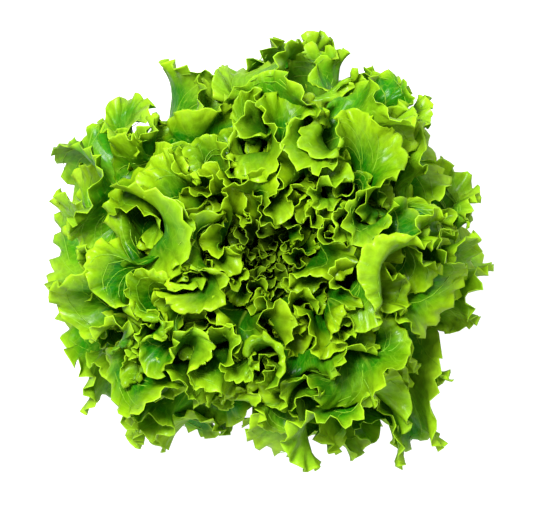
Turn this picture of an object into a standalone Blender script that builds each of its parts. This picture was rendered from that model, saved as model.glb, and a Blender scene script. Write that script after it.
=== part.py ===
"""A head of frilly green loose-leaf lettuce, as cut, standing on its stem.

Run it with: blender --background --python part.py
Metres, +Z up. The origin is the centre of the cut face that the head stands on.

The leaves grow from the stem in a spiral. Each lies on a bell-shaped shell of its own, and the
shells are nested, the lowest leaf's outermost, so no leaf runs into another. A leaf is a fan:
"across" runs from its left edge, -1, to its right edge, 1, and "along" from its base, 0, on the
stem to its frilly margin, 1.
"""

import math
from dataclasses import dataclass

import bmesh
import bpy
from mathutils import Vector

# The head
HEAD_RADIUS = 0.131  # from the axis to the outermost leaf's tip
HEAD_HEIGHT = 0.150  # from the cut face to the tips of the tallest leaves
RIM_HEIGHT = 0.050  # of the outermost leaf's tip
HEART_DIP = 0.050  # how far the youngest leaves stay below the tallest
HEART_RADIUS = 0.006  # from the axis to the youngest leaf's tip
TALLEST_RANK = 0.62  # where the tallest leaves come, from 0, the lowest leaf, to 1, the youngest
DOME_POWER = 1.25  # above 1, the leaves crowd towards the head's outside

# The stem
STEM_RADIUS = 0.0165
STEM_HEIGHT = 0.068
STEM_TOP_RADIUS = 0.0030
TAPER_POWER = 1.15  # above 1, the stem stays thick for longer
CUT_BEVEL = 0.0015
FIRST_LEAF_HEIGHT = 0.0075
LAST_LEAF_BELOW_TOP = 0.003
STEM_SIDES = 32
MERGE_DISTANCE = 0.00005
TAPER_STEPS = 6

# The leaves
BLADE_THICKNESS = 0.0008
RIB_THICKNESS = 0.0024  # of an outer leaf, through the rib at its base
RIB_HALF_SHARE = 0.30  # of the leaf's half width that the rib takes up
WAVE_HEIGHT = 0.0034  # of the broad waves along the lowest leaf's margin, each way
WAVES = 3  # along one margin
CLEARANCE = 0.0005  # between the stem and a leaf's base
GOLDEN_ANGLE = math.radians(137.508)
FIRST_AZIMUTH = math.radians(80)
SMALL_STEP = 0.01  # along a shell, to find which way it runs

# A leaf's shape, as (the lowest leaf's, the youngest leaf's), in degrees
BASE_TILT = (-2, 72)  # above level, where the leaf leaves the stem
TIP_TILT = (0, 68)  # above level, at its tip
BASE_HALF_ANGLE = (30, 48)  # round the head, each side of the leaf's middle, at its base
BLADE_HALF_ANGLE = (44, 62)  # the same at its widest
# A leaf's shape, as shares of its own length or width
BASE_PULL = 0.42  # how far it keeps to its tilt at the base
TIP_PULL = 0.30  # how far it keeps to its tilt at the tip
WIDEST_ALONG = 0.60
NECK_ALONG = 0.55
NECK_WIDTH = 0.75
MARGIN_TURN = 128  # degrees of a round margin that each side takes

# Leaves by name, youngest last: (name, how many, cells across, cells along)
LEAF_KINDS = (
    ("outer_leaf", 14, 12, 5),
    ("middle_leaf", 13, 10, 4),
    ("inner_leaf", 10, 8, 4),
    ("heart_leaf", 5, 6, 3),
)
LEAF_COUNT = sum(count for _, count, _, _ in LEAF_KINDS)

# Places where the head's outline stands out or is notched: (azimuth and width in degrees, share)
OUTLINE = (
    (80, 12, 0.05),
    (104, 9, -0.13),
    (160, 12, 0.03),
    (258, 13, -0.22),
    (312, 15, 0.11),
    (331, 8, -0.09),
)

# Where the rim sags or rises: (how many times round, azimuth of the first crest, share)
SAG = ((2, 25, 0.10), (3, 70, 0.12))


@dataclass
class Leaf:
    name: str
    rank: float
    azimuth: float
    cells_across: int
    cells_along: int


def blend(start, end, share):
    return start + (end - start) * share


def stem_radius(height):
    """The stem tapers from its cut face to its growing tip."""
    share = min(max(height / STEM_HEIGHT, 0), 1)
    return blend(STEM_RADIUS, STEM_TOP_RADIUS, share**TAPER_POWER)


def tip_of_shell(rank):
    """(radius, height) of the tip of the leaf of that rank. Together the tips make a dome."""
    radius = blend(HEAD_RADIUS, HEART_RADIUS, rank**DOME_POWER)
    if rank < TALLEST_RANK:
        rise = math.sin(math.pi / 2 * rank / TALLEST_RANK)
        return radius, blend(RIM_HEIGHT, HEAD_HEIGHT, rise)
    fall = (rank - TALLEST_RANK) / (1 - TALLEST_RANK)
    return radius, HEAD_HEIGHT - HEART_DIP * fall**2


def direction(tilt):
    """Outwards and up, at that many degrees above level."""
    return Vector((math.cos(math.radians(tilt)), math.sin(math.radians(tilt))))


def shell_point(rank, along):
    """(radius, height) on the shell of that rank: a cubic curve from the stem to the dome."""
    at_base = direction(blend(*BASE_TILT, rank**0.75))
    at_tip = direction(blend(*TIP_TILT, rank))
    base_height = blend(FIRST_LEAF_HEIGHT, STEM_HEIGHT - LAST_LEAF_BELOW_TOP, rank)
    half_thickness = rib_thickness(rank) / 2
    base_radius = stem_radius(base_height) + CLEARANCE + half_thickness * at_base.y
    base = Vector((base_radius, base_height))
    tip = Vector(tip_of_shell(rank))
    reach = (tip - base).length
    bends = (base, base + at_base * reach * BASE_PULL, tip - at_tip * reach * TIP_PULL, tip)
    weights = (
        (1 - along) ** 3,
        3 * along * (1 - along) ** 2,
        3 * along**2 * (1 - along),
        along**3,
    )
    return sum((w * bend for w, bend in zip(weights, bends)), Vector((0, 0)))


def outline_scale(azimuth):
    """How far the whole head reaches towards that azimuth, against the round one."""
    scale = 1.0
    for centre, width, share in OUTLINE:
        away = math.degrees(azimuth) - centre
        away = (away + 180) % 360 - 180
        scale += share * math.exp(-((away / width) ** 2))
    return scale


def height_scale(azimuth):
    """How high the rim stands at that azimuth, against the even one."""
    return 1 + sum(
        share * math.cos(times * (azimuth - math.radians(crest))) for times, crest, share in SAG
    )


def rib_thickness(rank):
    """Young leaves have thin ribs."""
    return blend(RIB_THICKNESS, BLADE_THICKNESS, rank)


def fan_point(rank, across, along):
    """(share of the shell's length, angle from the leaf's middle) of a point on the fan."""
    base_half_angle = math.radians(blend(*BASE_HALF_ANGLE, rank))
    blade_half_angle = math.radians(blend(*BLADE_HALF_ANGLE, rank))
    turn = across * math.radians(MARGIN_TURN)
    margin_share = blend(WIDEST_ALONG, 1, math.cos(turn))
    margin_angle = blade_half_angle * math.sin(turn)
    neck_share = NECK_ALONG * margin_share
    neck_angle = across * base_half_angle * NECK_WIDTH
    start, middle, end = (1 - along) ** 2, 2 * along * (1 - along), along**2
    share = middle * neck_share + end * margin_share
    angle = start * across * base_half_angle + middle * neck_angle + end * margin_angle
    return share, angle


def leaf_point(leaf, across, along):
    """A point of the leaf's sheet: on its shell, waved at the margin, with the head's outline."""
    share, angle = fan_point(leaf.rank, across, along)
    on_shell = shell_point(leaf.rank, share)
    ahead = shell_point(leaf.rank, share + SMALL_STEP) - on_shell
    outwards = Vector((-ahead.y, ahead.x)).normalized()
    wave = math.sin(math.pi * WAVES * across + leaf.azimuth) * along**3
    radius, height = on_shell + outwards * WAVE_HEIGHT * wave * (1 - leaf.rank)
    azimuth = leaf.azimuth + angle
    spread = min(max((radius - STEM_RADIUS) / (HEAD_RADIUS - STEM_RADIUS), 0), 1)
    radius *= blend(1.0, outline_scale(azimuth), spread)
    height *= blend(1.0, height_scale(azimuth), spread**2)
    return Vector((radius * math.cos(azimuth), radius * math.sin(azimuth), height))


def material(name, colour, roughness):
    made = bpy.data.materials.new(name)
    made.use_nodes = True
    surface = made.node_tree.nodes["Principled BSDF"]
    surface.inputs["Base Color"].default_value = (*colour, 1)
    surface.inputs["Roughness"].default_value = roughness
    surface.inputs["Metallic"].default_value = 0
    return made


def all_leaves():
    """The leaves from the lowest to the youngest, each turned by the golden angle from the last."""
    leaves = []
    for kind, count, cells_across, cells_along in LEAF_KINDS:
        for number in range(1, count + 1):
            place = len(leaves)
            leaves.append(
                Leaf(
                    name=f"{kind}_{number:02d}",
                    rank=place / (LEAF_COUNT - 1),
                    azimuth=FIRST_AZIMUTH + place * GOLDEN_ANGLE,
                    cells_across=cells_across,
                    cells_along=cells_along,
                )
            )
    return leaves


def add_leaf(leaf, collection, finish):
    """A fan-shaped sheet on the leaf's shell, given its thickness, most at the rib's base."""
    sheet = bmesh.new()
    bmesh.ops.create_grid(
        sheet, x_segments=leaf.cells_across, y_segments=leaf.cells_along, size=1
    )
    rib = sheet.verts.layers.deform.new()
    thinnest = BLADE_THICKNESS / RIB_THICKNESS
    for vertex in sheet.verts:
        across, along = vertex.co.x, (vertex.co.y + 1) / 2
        vertex.co = leaf_point(leaf, across, along)
        on_rib = max(0, 1 - abs(across) / RIB_HALF_SHARE) * (1 - along)
        thickness = blend(BLADE_THICKNESS, rib_thickness(leaf.rank), on_rib)
        vertex[rib][0] = max(thickness / RIB_THICKNESS, thinnest)
    mesh = bpy.data.meshes.new(leaf.name)
    sheet.to_mesh(mesh)
    sheet.free()
    mesh.shade_smooth()
    mesh.materials.append(finish)
    made = bpy.data.objects.new(leaf.name, mesh)
    made.vertex_groups.new(name="rib")
    collection.objects.link(made)
    wall = made.modifiers.new("thickness", "SOLIDIFY")
    wall.thickness = RIB_THICKNESS
    wall.offset = 0
    wall.vertex_group = "rib"
    return made


def add_stem(collection, finish):
    """The stem: a turned taper, flat where it was cut."""
    heights = [STEM_HEIGHT * (1 - step / TAPER_STEPS) for step in range(TAPER_STEPS)]
    profile = [(0, STEM_HEIGHT)]
    profile += [(stem_radius(height), height) for height in heights]
    profile += [(STEM_RADIUS, CUT_BEVEL), (STEM_RADIUS - CUT_BEVEL, 0), (0, 0)]
    mesh = bpy.data.meshes.new("stem")
    mesh.from_pydata(
        [(radius, 0, height) for radius, height in profile],
        [(n, n + 1) for n in range(len(profile) - 1)],
        [],
    )
    mesh.materials.append(finish)
    made = bpy.data.objects.new("stem", mesh)
    collection.objects.link(made)
    turn = made.modifiers.new("turned", "SCREW")
    turn.steps = turn.render_steps = STEM_SIDES
    turn.use_merge_vertices = True
    turn.merge_threshold = MERGE_DISTANCE
    return made


def build():
    for thing in list(bpy.data.objects):
        bpy.data.objects.remove(thing)
    head = bpy.data.collections.new("head_of_lettuce")
    bpy.context.scene.collection.children.link(head)
    green = material("leaf_green", (0.16, 0.40, 0.02), 0.45)
    pale = material("stem_flesh", (0.72, 0.76, 0.52), 0.6)
    add_stem(head, pale)
    for leaf in all_leaves():
        add_leaf(leaf, head, green)


build()
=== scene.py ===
"""The looks of a head of frilly green lettuce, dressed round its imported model.

Run it with: blender --background --python scene.py
Metres, +Z up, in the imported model's own frame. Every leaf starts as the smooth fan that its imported
node is. Its margin then grows faster than its rib, so that it buckles into lobes, and the leaves
push each other apart. Finer frills, teeth, ribs and veins are laid on what has grown.
"""

import math
from functools import cache

import bpy
import numpy as np
from bpy.props import FloatProperty, FloatVectorProperty, IntProperty, PointerProperty
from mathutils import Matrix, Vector


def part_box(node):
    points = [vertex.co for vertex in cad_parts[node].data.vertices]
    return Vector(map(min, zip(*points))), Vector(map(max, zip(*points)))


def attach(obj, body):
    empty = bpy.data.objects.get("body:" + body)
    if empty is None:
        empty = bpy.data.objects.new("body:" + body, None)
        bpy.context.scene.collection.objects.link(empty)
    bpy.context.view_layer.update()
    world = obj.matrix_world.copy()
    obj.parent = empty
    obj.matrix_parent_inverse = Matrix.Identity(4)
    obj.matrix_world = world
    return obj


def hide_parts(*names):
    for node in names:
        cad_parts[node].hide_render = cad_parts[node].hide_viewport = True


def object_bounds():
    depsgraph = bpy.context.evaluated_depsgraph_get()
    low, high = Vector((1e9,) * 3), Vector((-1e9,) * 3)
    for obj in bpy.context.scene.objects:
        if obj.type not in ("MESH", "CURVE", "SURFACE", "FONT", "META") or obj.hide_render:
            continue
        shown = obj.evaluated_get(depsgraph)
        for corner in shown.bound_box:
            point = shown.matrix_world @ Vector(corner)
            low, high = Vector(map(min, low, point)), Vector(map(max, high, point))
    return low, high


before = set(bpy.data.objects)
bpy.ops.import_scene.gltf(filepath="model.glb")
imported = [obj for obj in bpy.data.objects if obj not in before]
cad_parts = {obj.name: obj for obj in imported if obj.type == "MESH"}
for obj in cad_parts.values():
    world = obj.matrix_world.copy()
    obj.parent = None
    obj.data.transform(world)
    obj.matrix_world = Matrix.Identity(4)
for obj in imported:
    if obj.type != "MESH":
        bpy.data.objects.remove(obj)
CAD_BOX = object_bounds()
STEM_LOW, STEM_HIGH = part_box("stem")

bl_info = {
    "name": "Head of lettuce",
    "version": (1, 0, 0),
    "blender": (4, 5, 0),
    "location": "View3D > Sidebar > Lettuce",
    "description": "Dresses the packed head of lettuce with grown, frilled leaves and its stem",
    "category": "Add Mesh",
}

# The smooth leaves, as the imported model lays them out
HEAD_RADIUS = 0.131
HEAD_HEIGHT = 0.150
RIM_HEIGHT = 0.050
HEART_DIP = 0.050
HEART_RADIUS = 0.006
TALLEST_RANK = 0.62
DOME_POWER = 1.25
STEM_RADIUS = (STEM_HIGH.x - STEM_LOW.x) / 2
STEM_HEIGHT = STEM_HIGH.z
STEM_TOP_RADIUS = 0.0030
TAPER_POWER = 1.15
CUT_BEVEL = 0.0015
FIRST_LEAF_HEIGHT = 0.0075
LAST_LEAF_BELOW_TOP = 0.003
RIB_THICKNESS = 0.0024
BLADE_THICKNESS = 0.0008
CLEARANCE = 0.0005
GOLDEN_ANGLE = math.radians(137.508)
FIRST_AZIMUTH = math.radians(80)
BASE_TILT = (-2, 72)
TIP_TILT = (0, 68)
BASE_HALF_ANGLE = (30, 48)
BLADE_HALF_ANGLE = (44, 62)
BASE_PULL = 0.42
TIP_PULL = 0.30
WIDEST_ALONG = 0.60
NECK_ALONG = 0.55
NECK_WIDTH = 0.75
MARGIN_TURN = math.radians(128)

# Where the head's outline stands out or is notched: (azimuth and width in degrees, share)
OUTLINE = (
    (80, 12, 0.05),
    (104, 9, -0.13),
    (160, 12, 0.03),
    (258, 13, -0.22),
    (312, 15, 0.11),
    (331, 8, -0.09),
)

# Where the rim sags or rises: (how many times round, azimuth of the first crest, share)
SAG = ((2, 25, 0.10), (3, 70, 0.12))

# Where the grown rim reaches farther or less far: (azimuth and width in degrees, share)
RIM = (
    (98, 11, -0.10),
    (122, 10, 0.07),
    (161, 13, 0.11),
    (206, 13, -0.09),
    (231, 8, 0.06),
    (258, 13, -0.13),
    (301, 10, 0.12),
    (331, 9, -0.06),
)

# The leaves by kind, youngest last: (name, how many, slot, columns and rows of the finished sheet)
LEAF_KINDS = (
    ("outer_leaf", 14, "outer_blade", 440, 34),
    ("middle_leaf", 13, "middle_blade", 380, 30),
    ("inner_leaf", 10, "inner_blade", 270, 26),
    ("heart_leaf", 5, "heart_blade", 150, 20),
)
LEAF_COUNT = sum(kind[1] for kind in LEAF_KINDS)
RANKS = np.arange(LEAF_COUNT) / (LEAF_COUNT - 1)

# How strongly a leaf's colour shows its veins, its edge (partly a painted highlight) and its pale
# patches, by kind
BLADE_STRENGTHS = {
    "outer_leaf": (0.36, 0.42, 0.30),
    "middle_leaf": (0.28, 0.44, 0.10),
    "inner_leaf": (0.20, 0.34, 0.0),
    "heart_leaf": (0.20, 0.25, 0.0),
}

# The growing sheets' grid, the same for every leaf
GROW_ROWS, GROW_COLUMNS = 22, 128
ROW_CROWDING = 1.6  # above 1, the rows crowd towards the margin
PATTERN_SCALE = 0.1  # metres of leaf to one unit of its map

# How the sheets grow
FLOOR_GAP = 0.003
TOP_GAP = 0.002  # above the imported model's top, where the leaves start to be held down
HOLD_DOWN = 0.25  # share of the height above that which each step takes off
KEPT_SPEED = 0.82  # share of a point's speed that is left after a step
EDGE_STRENGTH, SLANT_STRENGTH = 0.9, 0.5  # of the springs along the grid and across its cells
BENDING = 0.05  # strength of the springs that keep a sheet from folding sharply
ROOT_PULL, ROOTED_SHARE = 0.06, 0.75  # on a leaf's base, and how far along the leaf it reaches
GROWING_SHARE = 0.7  # of the steps; in the rest the leaves settle
LIST_EVERY = 8  # steps from one list of what touches to the next
JOSTLE_WAVES = (0.045, 0.10)  # shortest and longest wave of the push that all leaves get
JOSTLE_FROM, JOSTLE_OVER = 0.012, 0.04  # where that push starts, and how far on it is whole

# How uneven ruffles are, as shares of a random line that stays mostly within -1 to 1
PHASE_WANDER, HEIGHT_WANDER, LEAN_WANDER, TWIST_WANDER = 1.9, 0.42, 0.45, 0.9

# The same for teeth, and how many are pointed and how many are there at all
SPACING_WANDER, MARGIN_WANDER, TOOTH_WANDER = 0.9, 0.35, 0.6
POINTED_SHARE, TOOTHED_SHARE = 0.2, 0.25
TOOTH_DEPTH = 3.4  # how far behind the margin a tooth moves the leaf, in its own lengths

# Ribs, side veins and edges
RIB_WIDTH = (0.0052, 0.0007)  # at the leaf's base and at its margin
VEIN_WIDTH = (0.0013, 0.0005)  # at the same places
VEIN_STARTS = (0.05, 0.78)  # along the rib, of the lowest side vein and of the highest
VEIN_ENDS = (0.92, 0.12)  # across, at the margin, of the same
LEAST_RIB_HEIGHT = 0.0002
BASE_FLESH = 0.0010  # added to each side of a leaf's base
VEIN_RISE, VEIN_GROOVE = 0.00022, 0.00010  # behind the leaf and in front of it
THIN_EDGE, EDGE_DEPTH = 0.55, 0.004  # share of the thickness at the margin, and how far it thins
EDGE_COLOUR_DEPTH = 0.0011
FORKS_UP_TO = 0.66  # rank of the youngest leaf whose side veins fork
FORK_THICKNESS = 0.8  # of a fork, against its vein's
VEIN_RADIUS = (0.00062, 0.00030)  # of the lowest leaf's raised veins, at its base and its margin
VEIN_SUNK = 0.00040  # how far a raised vein reaches in front of the leaf's middle

# The stem's skin and the scars on it
STEM_COLUMNS = 96
STEM_CAP = 0.002  # height of its rounded tip
CUT_GRAIN, GRAIN_WAVE = 0.00012, 0.0021  # height of the rings on its cut face, and their spacing
STAIN_HEIGHT, STAIN_FADE = 0.0012, 0.0016  # how far up the cut's browning goes, and fades
SWELLING = 0.0004  # where a leaf leaves the stem
SWELLING_HALF_ANGLE, SWELLING_HALF_HEIGHT = 0.45, 0.0028
SCAR_HEIGHTS = (0.0026, 0.0066)  # of the lowest and the highest

# The stage: its lamps as (name, place, width, watts), all facing the head's middle
LAMPS = (
    ("overhead", (-0.28, 0.41, 1.14), 0.32, 33),
    ("right fill", (0.7, -0.5, 0.8), 0.9, 4.5),
    ("left fill", (-0.9, -0.6, 0.5), 0.9, 8.0),
    ("front fill", (0.1, -1.1, 0.50), 0.9, 8.0),
    ("back fill", (0.7, 0.8, 0.5), 0.9, 7.0),
)
STUDIO_LIGHT = 0.08  # from all round
WALL_GLOW, FLOOR_GLOW = 0.85, 0.86  # what the camera sees round the head and under it
CAMERA_PLACE = (-0.001, 0.001, 1.235)
CAMERA_LENS = 135
FLOOR_WIDTH = 6


# Shapes


def short_name(kind):
    """The first word of a kind of leaf."""
    return kind.split("_")[0]


def mix(start, end, share):
    return start + (end - start) * share


def unit(vectors):
    return vectors / np.maximum(np.linalg.norm(vectors, axis=-1, keepdims=True), 1e-12)


def stem_radius(height):
    """The stem tapers from its cut face to its growing tip."""
    share = np.clip(height / STEM_HEIGHT, 0, 1)
    return mix(STEM_RADIUS, STEM_TOP_RADIUS, share**TAPER_POWER)


def tip_of_shell(rank):
    """(radius, height) of the tip of the leaf of that rank, from 0, the lowest, to 1."""
    radius = mix(HEAD_RADIUS, HEART_RADIUS, rank**DOME_POWER)
    if rank < TALLEST_RANK:
        rise = math.sin(math.pi / 2 * rank / TALLEST_RANK)
        return np.array((radius, mix(RIM_HEIGHT, HEAD_HEIGHT, rise)))
    fall = (rank - TALLEST_RANK) / (1 - TALLEST_RANK)
    return np.array((radius, HEAD_HEIGHT - HEART_DIP * fall**2))


def tilted(degrees):
    """(outwards, up) at that many degrees above level."""
    return np.array((math.cos(math.radians(degrees)), math.sin(math.radians(degrees))))


def shell_points(rank, share):
    """(radius, height) at those shares of the way along the shell of that rank."""
    at_base = tilted(mix(*BASE_TILT, rank**0.75))
    at_tip = tilted(mix(*TIP_TILT, rank))
    base_height = mix(FIRST_LEAF_HEIGHT, STEM_HEIGHT - LAST_LEAF_BELOW_TOP, rank)
    half_thickness = mix(RIB_THICKNESS, BLADE_THICKNESS, rank) / 2
    base_radius = stem_radius(base_height) + CLEARANCE + half_thickness * at_base[1]
    base, tip = np.array((base_radius, base_height)), tip_of_shell(rank)
    reach = np.linalg.norm(tip - base)
    bends = (base, base + at_base * reach * BASE_PULL, tip - at_tip * reach * TIP_PULL, tip)
    left = 1 - share
    weights = (left**3, 3 * share * left**2, 3 * share**2 * left, share**3)
    return sum(weight[..., None] * bend for weight, bend in zip(weights, bends))


def outline_scale(azimuth, places=OUTLINE):
    """How far the head reaches towards each azimuth, against a round one."""
    scale = np.ones_like(azimuth)
    for centre, width, share in places:
        away = (np.degrees(azimuth) - centre + 180) % 360 - 180
        scale += share * np.exp(-((away / width) ** 2))
    return scale


def height_scale(azimuth):
    """How high the rim stands at each azimuth, against an even one."""
    waves = (share * np.cos(times * (azimuth - math.radians(crest))) for times, crest, share in SAG)
    return 1 + sum(waves)


def fan_points(rank, across, along):
    """(share of the shell's length, angle from the leaf's middle) of points on the fan."""
    base_half_angle = math.radians(mix(*BASE_HALF_ANGLE, rank))
    blade_half_angle = math.radians(mix(*BLADE_HALF_ANGLE, rank))
    margin_share = mix(WIDEST_ALONG, 1, np.cos(across * MARGIN_TURN))
    margin_angle = blade_half_angle * np.sin(across * MARGIN_TURN)
    neck_share = NECK_ALONG * margin_share
    neck_angle = across * base_half_angle * NECK_WIDTH
    start, middle, end = (1 - along) ** 2, 2 * along * (1 - along), along**2
    share = middle * neck_share + end * margin_share
    angle = start * across * base_half_angle + middle * neck_angle + end * margin_angle
    return share, angle


def row_places(rows):
    """How far along the leaf each row of its sheet lies."""
    return 1 - (1 - np.linspace(0, 1, rows)) ** ROW_CROWDING


def smooth_leaf(place, rows, columns):
    """Points [rows, columns, 3] of the leaf's smooth sheet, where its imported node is."""
    rank, azimuth = RANKS[place], FIRST_AZIMUTH + place * GOLDEN_ANGLE
    along, across = np.meshgrid(row_places(rows), np.linspace(-1, 1, columns), indexing="ij")
    share, angle = fan_points(rank, across, along)
    radius, height = np.moveaxis(shell_points(rank, share), -1, 0)
    turned = azimuth + angle
    spread = np.clip((radius - STEM_RADIUS) / (HEAD_RADIUS - STEM_RADIUS), 0, 1)
    radius = radius * mix(1, outline_scale(turned), spread)
    height = height * mix(1, height_scale(turned), spread**2)
    return np.stack([radius * np.cos(turned), radius * np.sin(turned), height], axis=-1)


def directions(points):
    """Unit vectors across, along and out of the back of a sheet at each point."""
    across = unit(np.gradient(points, axis=1))
    along = unit(np.gradient(points, axis=0))
    return across, along, unit(np.cross(across, along))


def lengths(points, axis):
    """Length along an axis of the sheet's grid, up to each point."""
    steps = np.linalg.norm(np.diff(points, axis=axis), axis=-1)
    before = [(0, 0), (0, 0)]
    before[axis] = (1, 0)
    return np.cumsum(np.pad(steps, before), axis=axis)


def behind_margin(points):
    """How far each point lies behind the margin, along its own column."""
    along = lengths(points, 0)
    return along[-1:] - along


def wander(dice, count, knots):
    """A smooth random line over count places, mostly within -1 to 1."""
    heights = dice.normal(size=knots + 1)
    at = np.linspace(0, knots, count)
    knot = np.minimum(at.astype(int), knots - 1)
    share = at - knot
    share = share * share * (3 - 2 * share)
    return np.clip(mix(heights[knot], heights[knot + 1], share) * 0.8, -1.6, 1.6)


def ruffled(points, dice, wave, height, depth, overhang=0.3, lobe=0.35, fade=0.14):
    """Waves of that length and height along the margin, which fade out at depth behind it."""
    across, along, back = directions(points)
    columns = points.shape[1]
    margin = lengths(points[-1:], 1)[0]
    knots = max(3, int(margin[-1] / wave / 1.1))
    behind = behind_margin(points)
    phase = 2 * math.pi * margin / wave + PHASE_WANDER * wander(dice, columns, knots)
    phase += dice.uniform(0, 2 * math.pi)
    size = height * (1 + HEIGHT_WANDER * wander(dice, columns, knots))
    lean = LEAN_WANDER * wander(dice, columns, max(3, knots // 2))
    phase = phase + TWIST_WANDER * wander(dice, columns, knots) * behind / depth
    near = np.clip(1 - behind / depth, 0, 1) ** 1.3
    sides = np.clip((1 - abs(np.linspace(-1, 1, columns))) / fade, 0, 1) ** 0.8
    lift = size * near * sides
    return (
        points
        + back * (lift * (np.sin(phase) + lean))[..., None]
        - across * (overhang * lift * np.sin(2 * phase))[..., None]
        + along * (lobe * lift * np.cos(phase + 0.6))[..., None]
    )


def toothed(points, dice, spacing, reach):
    """Rounded scallops of uneven width along the margin, with a pointed one here and there."""
    along = directions(points)[1]
    columns = points.shape[1]
    margin = lengths(points[-1:], 1)[0]
    knots = max(3, int(margin[-1] / spacing))
    few = max(3, knots // 2)
    phase = margin / spacing + SPACING_WANDER * wander(dice, columns, few)
    swing = 0.5 - 0.5 * np.cos(2 * math.pi * phase)
    pointed = np.clip(POINTED_SHARE + TOOTH_WANDER * wander(dice, columns, knots), 0, 1) ** 2
    some = np.clip(TOOTHED_SHARE + TOOTH_WANDER * wander(dice, columns, few), 0, 1.1)
    tooth = mix(1 - (1 - swing) ** 2.2, swing**2.0, pointed) * some
    tooth = tooth + MARGIN_WANDER * wander(dice, columns, knots)
    near = np.clip(1 - behind_margin(points) / (TOOTH_DEPTH * reach), 0, 1) ** 1.2
    return points + along * (near * tooth * reach)[..., None]


def jostled(points, reach=0.0042, seed=5, pushes=10):
    """The same gentle push for every leaf at a place, so that no leaf crosses another by it."""
    dice = np.random.default_rng(seed)
    ways = unit(dice.normal(size=(pushes, 3)))
    sides = unit(dice.normal(size=(pushes, 3)))
    phases = dice.uniform(0, 2 * math.pi, pushes)
    waves = dice.uniform(*JOSTLE_WAVES, pushes)
    out_from_stem = np.linalg.norm(points[..., :2], axis=-1)
    free = np.clip((out_from_stem - JOSTLE_FROM) / JOSTLE_OVER, 0, 1)[..., None]
    push = sum(
        side * np.sin(2 * math.pi * (points @ way) / wave + phase)[..., None]
        for way, side, phase, wave in zip(ways, sides, phases, waves)
    )
    return points + push * reach * free


# Growth


def spring(points, first, second, rest, strength):
    """Move the pairs of points towards their rest lengths apart."""
    apart = points[second] - points[first]
    length = np.sqrt(np.einsum("...k,...k->...", apart, apart)) + 1e-9
    shift = apart * (0.5 * strength * (length - rest) / length)[..., None]
    points[first] += shift
    points[second] -= shift


class Touching:
    """Keeps the sheets from running into each other and into themselves."""

    CELL = 0.0042
    NEIGHBOURS = 5  # points this near in one sheet's grid don't push each other
    FIRST_ROW = 5  # nearer the stem than this, leaves may touch
    FINEST, FINE = 0.0016, 0.0026  # spacings under which a third or half of the columns are enough
    LEAST_REACH = 0.0014
    PUSH = 0.3

    def __init__(self, shape, spacing):
        rows = shape[1]
        leaf, row, column = np.indices(shape).reshape(3, -1)
        every = np.where(spacing < self.FINEST, 3, np.where(spacing < self.FINE, 2, 1))[leaf]
        every_row = np.minimum(every, 2)
        watched = (column % every == 0) & ((rows - 1 - row) % every_row == 0)
        self.chosen = np.flatnonzero((row >= self.FIRST_ROW) & watched)
        leaf = leaf[self.chosen]
        self.place = leaf, row[self.chosen], (column // every)[self.chosen]
        wider = np.where(spacing < self.FINE, 1.6, 1.0)
        self.reach = np.clip(0.9 * spacing * wider, self.LEAST_REACH, self.CELL)[leaf]

    def find(self, points):
        """List the pairs that touch or nearly do."""
        points = points.reshape(-1, 3)[self.chosen]
        cell = np.floor(points / self.CELL).astype(np.int64)
        cell -= cell.min(axis=0)
        _, wide, tall = cell.max(axis=0) + 3
        flat = (cell[:, 0] * wide + cell[:, 1]) * tall + cell[:, 2]
        order = np.argsort(flat, kind="stable")
        ranked = flat[order]
        places = np.arange(len(ranked))
        steps = [(x, y, z) for x in (0, 1) for y in (-1, 0, 1) for z in (-1, 0, 1)]
        pairs = []
        for x, y, z in (step for step in steps if step >= (0, 0, 0)):
            target = ranked + (x * wide + y) * tall + z
            low = np.searchsorted(ranked, target, "left") if (x, y, z) != (0, 0, 0) else places + 1
            count = np.maximum(np.searchsorted(ranked, target, "right") - low, 0)
            first = np.repeat(places, count)
            within = np.arange(count.sum()) - np.repeat(np.cumsum(count) - count, count)
            pairs.append((order[first], order[np.repeat(low, count) + within]))
        first, second = (np.concatenate(side) for side in zip(*pairs))
        leaf, row, column = self.place
        apart = points[first] - points[second]
        reach = 0.5 * (self.reach[first] + self.reach[second])
        near = np.einsum("ij,ij->i", apart, apart) < (1.1 * reach) ** 2
        steps_apart = abs(row[first] - row[second]) + abs(column[first] - column[second])
        keep = near & ((leaf[first] != leaf[second]) | (steps_apart > self.NEIGHBOURS))
        self.first, self.second, self.apart = first[keep], second[keep], reach[keep]

    def push(self, points):
        """Move the listed pairs apart where they are nearer than their reach."""
        flat = points.reshape(-1, 3)
        some = flat[self.chosen]
        apart = some[self.first] - some[self.second]
        length = np.sqrt(np.einsum("ij,ij->i", apart, apart)) + 1e-9
        short = self.apart - length
        hit = short > 0
        first, second = self.first[hit], self.second[hit]
        shift = apart[hit] * (self.PUSH * short[hit] / length[hit])[:, None]
        for axis in range(3):
            some[:, axis] += np.bincount(first, shift[:, axis], len(some))
            some[:, axis] -= np.bincount(second, shift[:, axis], len(some))
        flat[self.chosen] = some


def cell_sides(wide, tall):
    """Width and height of each cell of the sheets' grids, as the mean of its two sides."""
    return 0.5 * (wide[:, 1:] + wide[:, :-1]), 0.5 * (tall[..., 1:] + tall[..., :-1])


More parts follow.
